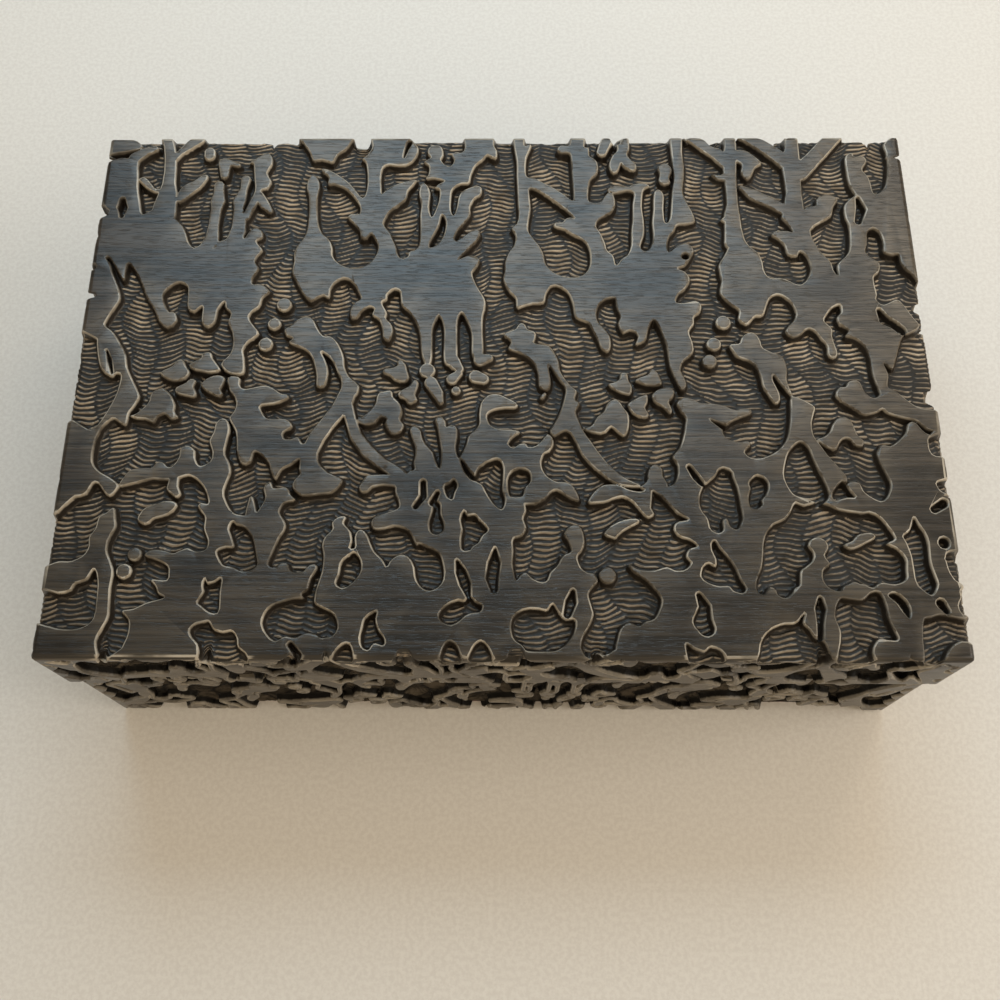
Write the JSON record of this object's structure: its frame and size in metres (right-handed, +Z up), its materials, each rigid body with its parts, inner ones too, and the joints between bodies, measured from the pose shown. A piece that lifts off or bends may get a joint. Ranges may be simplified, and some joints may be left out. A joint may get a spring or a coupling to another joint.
{
  "type": "carved wooden box",
  "caption": "Rectangular wooden keepsake box with a relief-carved top and sides; its lid swings open on brass hinges at the back.",
  "frame": {"origin": "middle of the underside, on the surface that the box stands on", "axes": "+X to the right along the box's length, +Y to the back where the hinges are, +Z up"},
  "size_m": [0.254, 0.172, 0.077],
  "materials": {
    "carved_wood": "dark stain, satin wax, worn edges",
    "plain_wood": "plain, unpolished",
    "felt": "short pile felt",
    "brass": "aged, satin",
    "steel": "bright drawn wire"
  },
  "bodies": {
    "base": {"base_front_board": "carved_wood", "base_back_board": "carved_wood", "base_left_board": "carved_wood", "base_right_board": "carved_wood", "base_bottom_board": "plain_wood", "base_lining": "felt", "base_felt": "felt", "bottom_nails": "steel", "left_hinge_base_leaf": "brass", "left_hinge_pin": "brass", "right_hinge_base_leaf": "brass", "right_hinge_pin": "brass", "hinge_base_screws": "brass"},
    "lid": {"lid_top_board": "carved_wood", "lid_front_rail": "carved_wood", "lid_back_rail": "carved_wood", "lid_left_rail": "carved_wood", "lid_right_rail": "carved_wood", "lid_lining": "felt", "left_hinge_lid_leaf": "brass", "right_hinge_lid_leaf": "brass", "hinge_lid_screws": "brass"}
  },
  "joints": [
    {"name": "lid_hinge", "type": "hinge", "parent": "base", "child": "lid", "pos_m": [0, 0.0818, 0.0477], "axis": [-1, 0, 0], "range_deg": [0, 100]}
  ]
}
